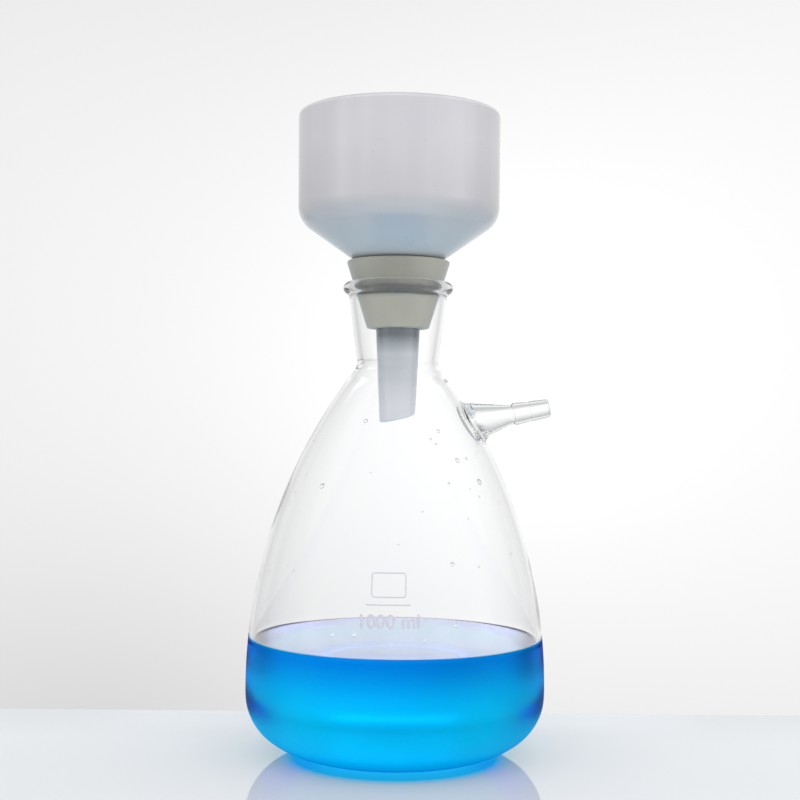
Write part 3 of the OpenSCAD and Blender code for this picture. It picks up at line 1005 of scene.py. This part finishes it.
def tip_row(bm, radius, above):
    """A ring near the stem's tip, at a height above the slanted cut."""
    row = []
    low_r = stem_r(STEM_LOW_Z)
    for j in range(FUNNEL_SEGMENTS):
        a = TURN * j / FUNNEL_SEGMENTS
        reach = radius * math.cos(a - math.radians(TIP_TURN))
        z = STEM_LOW_Z + math.tan(math.radians(TIP_CUT)) * (low_r - reach) + above
        row.append(bm.verts.new((radius * math.cos(a), radius * math.sin(a), z)))
    return row


def tip_rows(bm):
    """From the bore over the rounded slanted end to the outside of the stem."""
    low_r = stem_r(STEM_LOW_Z)
    mid = (low_r + low_r - STEM_WALL) / 2
    rows = []
    for side in (-1, 1):
        for k in range(5):
            a = math.radians(22.5 * k) if side < 0 else math.radians(90 - 22.5 * k)
            edge = STEM_WALL / 2 - TIP_EDGE + TIP_EDGE * math.cos(a)
            rows.append(tip_row(bm, mid + side * edge, TIP_EDGE * (1 - math.sin(a))))
    return rows


def funnel_outside():
    """From above the tip up the stem, the cone and the bowl, over the rim and down to the plate."""
    foot = STEM_LOW_Z + TIP_ROOM
    return split(
        [(stem_r(foot), foot)]
        + arc(BLEND_AT, BLEND_R, 180 - STEM_TAPER, 90 + CONE_SLOPE, 6)
        + arc(KNEE_AT, KNEE_OUT_R, CONE_SLOPE - 90, 0, 3)
        + arc((BOWL_R - RIM_EDGE_R, RIM_Z - RIM_EDGE_R), RIM_EDGE_R, 0, 180, 10)
        + arc((BOWL_IN_R - PLATE_CORNER_R, PLATE_Z + PLATE_CORNER_R), PLATE_CORNER_R, 0, -90, 10),
        2.5,
    )


def chamber_line():
    """From the edge of the plate's lower face down the chamber and the bore to above the tip."""
    knee_in = KNEE_OUT_R - BOWL_WALL
    ceiling = math.degrees(math.asin((PLATE_Z - PLATE_T - KNEE_AT[1]) / knee_in))
    widen = math.tan(math.radians(STEM_TAPER))
    slope = math.tan(math.radians(CONE_SLOPE))
    inner_apex = APEX_Z + BOWL_WALL / math.cos(math.radians(CONE_SLOPE))
    bore_r = (stem_r(inner_apex) - STEM_WALL) / (1 - widen * slope)
    bore_z = inner_apex + slope * bore_r
    up_cone = 9
    foot = STEM_LOW_Z + TIP_ROOM
    return split(
        arc(KNEE_AT, knee_in, ceiling, CONE_SLOPE - 90, 5)
        + rounded([
            (bore_r + up_cone, bore_z + up_cone * slope, 0),
            (bore_r, bore_z, 3.0),
            (stem_r(foot) - STEM_WALL, foot, 0),
        ]),
        3.0,
    )


def hole_line():
    """From the upper to the lower edge of one hole, both rounded."""
    line = [(HOLE_R + HOLE_EDGE, PLATE_Z)]
    for turn in (30, 60, 90):
        a = math.radians(turn)
        line.append((HOLE_R + HOLE_EDGE * (1 - math.sin(a)), PLATE_Z - HOLE_EDGE * (1 - math.cos(a))))
    return line + [(r, 2 * PLATE_Z - PLATE_T - z) for r, z in reversed(line)]


def circle_row(bm, x, y, z, radius):
    """One ring of vertices round a hole."""
    turns = [TURN * j / HOLE_SIDES for j in range(HOLE_SIDES)]
    return [bm.verts.new((x + radius * math.cos(a), y + radius * math.sin(a), z)) for a in turns]


def fill_plate(bm, edge, holes):
    """Triangles between the edge of a face of the plate and the loops round its holes."""
    loops = [edge] + holes
    verts = [v for loop in loops for v in loop]
    start, borders = 0, []
    for loop in loops:
        borders += [(start + j, start + (j + 1) % len(loop)) for j in range(len(loop))]
        start += len(loop)
    _, _, faces, _, _, _ = delaunay_2d_cdt([Vector(v.co[:2]) for v in verts], borders, [], 0, 1e-6)
    owner = [n for n, loop in enumerate(loops) for v in loop]
    for face in faces:
        owners = {owner[i] for i in face}
        if len(owners) > 1 or owners == {0}:
            bm.faces.new([verts[i] for i in face])


def build_funnel():
    """One closed mesh with a pierced strainer plate, a chamber under it and a bore to the slanted tip."""
    bm = bmesh.new()
    tip = tip_rows(bm)
    outside = [ring_row(bm, r, z, FUNNEL_SEGMENTS) for r, z in funnel_outside()]
    inside = [ring_row(bm, r, z, FUNNEL_SEGMENTS) for r, z in chamber_line()]
    rows = inside + tip + outside
    for low, high in zip(rows, rows[1:]):
        bridge(bm, low, high)
    top_loops, low_loops = [], []
    for x, y in hole_places():
        hole = [circle_row(bm, x, y, z, r) for r, z in hole_line()]
        for low, high in zip(hole, hole[1:]):
            bridge(bm, low, high)
        top_loops.append(hole[0])
        low_loops.append(hole[-1])
    fill_plate(bm, outside[-1], top_loops)
    fill_plate(bm, inside[0], low_loops)
    return make_piece("funnel_body", bm, [porcelain_material()], "buchner_funnel")


def build_paper():
    """A round of filter paper that sinks a little into each hole under it."""
    holes = hole_places()

    def sink(x, y):
        gap = min(math.hypot(x - hx, y - hy) for hx, hy in holes)
        return SINK_DEPTH * math.exp(-(gap / SINK_W) ** 2)

    bm = bmesh.new()
    rings = int(PAPER_R / PAPER_STEP)
    top, low = [], []
    for k in range(rings + 1):
        r = PAPER_R * k / rings
        top.append(ring_row(bm, r, PLATE_Z + PAPER_T, PAPER_SEGMENTS))
        low.append(ring_row(bm, r, PLATE_Z + PAPER_GAP, PAPER_SEGMENTS))
    for row in top + low:
        for v in row:
            v.co.z -= sink(v.co.x, v.co.y)
    rows = low + top[::-1]
    for a, b in zip(rows, rows[1:]):
        bridge(bm, a, b)
    return make_piece("paper_round", bm, [paper_material()], "filter_paper")


# ---------------------------------------------------------------- camera and studio

CAMERA_AT, CAMERA_ROLL = (1.27, -617.5, 143.4), -0.5


def build_camera():
    """Level camera at the height of the side arm."""
    camera = bpy.data.cameras.new("camera")
    camera.lens = 63.5
    camera.sensor_width = 36
    camera.shift_y = 0.03
    camera.clip_start = 0.01
    holder = bpy.data.objects.new("camera", camera)
    holder.location = [c * MM for c in CAMERA_AT]
    holder.rotation_euler = (math.radians(90), math.radians(CAMERA_ROLL), 0)
    bpy.context.scene.collection.objects.link(holder)
    bpy.context.scene.camera = holder


TABLE_LOW, TABLE_HIGH, TABLE_T, TABLE_EDGE = (-209, -420), (209, 85), 12, 0.2
GLOW_AHEAD, GLOW_RISE = 6, 4  # how far the glow's pool lies in front, and its lamp over the liquid


def table_material():
    """Pale polished acrylic, a little darker and duller at the back, with a painted pool of blue light
    under the flask that also glows.
    """
    m = Nodes("table_acrylic")
    cloud = m.noise(6, detail=2)
    _, y, _ = m.axes()
    shift = m.add("ShaderNodeVectorMath", operation="ADD")
    shift.inputs[1].default_value = (0, GLOW_AHEAD * MM, 0)
    m.link(m.place, shift.inputs[0])
    away = m.add("ShaderNodeVectorMath", operation="LENGTH")
    m.link(shift.outputs[0], away.inputs[0])
    away = away.outputs["Value"]
    # painted light: a pool of blue light around the flask's foot, which also glows, standing in for light
    # through the liquid
    outside = m.range(away, 0.044, 0.052, 0.0, 1.0)
    pale = m.ramp(cloud, ((0.3, (0.83, 0.86, 0.89)), (0.7, (0.86, 0.89, 0.92))))
    pale = m.mix(m.range(y, 0.02, 0.08, 0.0, 1.0), pale, (0.75, 0.77, 0.80))
    m.set(
        Base_Color=m.mix(outside, (0.02, 0.64, 0.96), pale),
        Roughness=m.range(y, 0.03, 0.06, 0.04, 0.15),
        IOR=1.49,
        Emission_Color=m.mix(outside, (0.02, 0.5, 1.0), (0.9, 0.97, 1.0)),
        Emission_Strength=m.range(away, 0.034, 0.052, 0.46, 0.05),
    )
    return m.material


def build_table():
    """Thick sheet with rounded edges."""
    bm = bmesh.new()
    bmesh.ops.create_cube(bm, size=1)
    for v in bm.verts:
        v.co.x = TABLE_LOW[0] if v.co.x < 0 else TABLE_HIGH[0]
        v.co.y = TABLE_LOW[1] if v.co.y < 0 else TABLE_HIGH[1]
        v.co.z = -TABLE_T if v.co.z < 0 else 0
    bmesh.ops.bevel(
        bm, geom=bm.edges[:], offset=TABLE_EDGE, segments=4, affect="EDGES", profile=0.5,
    )
    bmesh.ops.scale(bm, vec=(MM, MM, MM), verts=bm.verts)
    mesh = bpy.data.meshes.new("table")
    bm.to_mesh(mesh)
    bm.free()
    mesh.materials.append(table_material())
    table = bpy.data.objects.new("table", mesh)
    bpy.context.scene.collection.objects.link(table)


def build_glow():
    """The blue light that the liquid throws up at the funnel."""
    lamp = bpy.data.lights.new("liquid_glow", "AREA")
    lamp.shape = "DISK"
    lamp.size = 0.1
    lamp.energy = 0.055
    lamp.color = (0.05, 0.56, 1.0)
    holder = bpy.data.objects.new("liquid_glow", lamp)
    holder.location = (0, 0, (FILL_H + GLOW_RISE) * MM)
    holder.rotation_euler = (math.pi, 0, 0)
    holder.visible_camera = False
    holder.visible_glossy = False
    holder.visible_transmission = False
    bpy.context.scene.collection.objects.link(holder)


WORLD_BASE = 0.52
WHITE = (1, 1, 1)
BLUISH = (1.0, 1.12, 1.38)
# Each lobe has its turn from +Y towards +X, rise, sharpness, strength (below 0 it darkens) and colour.
WORLD_LOBES = (
    (-12, -14, 80, -0.11, WHITE),
    (37, -15, 90, -0.25, WHITE),
    (-37, -15, 90, -0.33, WHITE),
    (80, -20, 20, -0.25, (1, 0.95, 0.8)),
    (-80, -20, 20, -0.25, (1, 0.95, 0.8)),
    (32, 5, 60, -0.14, WHITE),
    (-32, 5, 60, -0.14, WHITE),
    (3, 2, 70, 0.12, WHITE),
    (22, 4, 8, 0.43, WHITE),
    (-22, 4, 8, 0.33, WHITE),
    (165, 28, 3, 0.40, WHITE),
    (-150, 30, 3, 0.25, WHITE),
    (125, 12, 6, 0.75, WHITE),
    (-125, 12, 6, 0.55, WHITE),
    (107, 3, 60, 0.9, WHITE),
    (-112, 3, 60, 0.7, WHITE),
    (85, 40, 4, 0.3, WHITE),
    (-85, 40, 4, 0.22, WHITE),
)
LAMP_LOBES = (  # the row of lamps behind the funnel, which the camera never sees directly
    (-9.6, 8.6, 1500, 0.45, BLUISH),
    (-7.2, 8.7, 2500, 0.50, BLUISH),
    (-4.9, 8.8, 2500, 0.55, BLUISH),
    (-2.5, 8.9, 2500, 0.58, BLUISH),
    (0, 8.9, 2500, 0.62, BLUISH),
    (2.5, 8.9, 2500, 0.62, BLUISH),
    (4.9, 8.8, 2500, 0.55, BLUISH),
    (7.2, 8.7, 2500, 0.60, BLUISH),
    (9.6, 8.6, 1500, 0.45, BLUISH),
)


def build_world():
    """A white tent with a bright backdrop and broad soft lights in front, above and to both sides."""
    world = bpy.data.worlds.new("tent")
    bpy.context.scene.world = world
    world.use_nodes = True
    tree = world.node_tree
    place = tree.nodes.new("ShaderNodeTexCoord").outputs["Generated"]

    def node(kind, operation, *values):
        made = tree.nodes.new(kind)
        made.operation = operation
        for socket, value in zip(made.inputs, values):
            feed(tree, socket, value)
        return made

    def add_lobes(total, lobes):
        for turn, rise, sharpness, strength, colour in lobes:
            a, e = math.radians(turn), math.radians(rise)
            way = (math.sin(a) * math.cos(e), math.cos(a) * math.cos(e), math.sin(e))
            dot = node("ShaderNodeVectorMath", "DOT_PRODUCT", place, way).outputs["Value"]
            ahead = node("ShaderNodeMath", "MAXIMUM", dot, 0.0).outputs[0]
            near = node("ShaderNodeMath", "POWER", ahead, float(sharpness)).outputs[0]
            light = tuple(strength * c for c in colour)
            total = node("ShaderNodeVectorMath", "MULTIPLY_ADD", near, light, total).outputs[0]
        return total

    lit = add_lobes((WORLD_BASE,) * 3, WORLD_LOBES)
    lamps = add_lobes((0, 0, 0), LAMP_LOBES)
    direct = tree.nodes.new("ShaderNodeLightPath").outputs["Is Camera Ray"]
    mirrored = node("ShaderNodeMath", "SUBTRACT", 1.0, direct).outputs[0]
    total = node("ShaderNodeVectorMath", "MULTIPLY_ADD", lamps, mirrored, lit).outputs[0]
    tree.links.new(total, tree.nodes["Background"].inputs["Color"])


build_camera()
build_table()
build_world()
build_glow()
build_flask()
build_liquid()
build_drops()
build_bubbles()
build_mark()
build_rubber_cone()
build_funnel()
build_paper()

scene = bpy.context.scene
scene.view_settings.view_transform = "Standard"
scene.cycles.max_bounces = 40
scene.cycles.transmission_bounces = 36
scene.cycles.glossy_bounces = 8
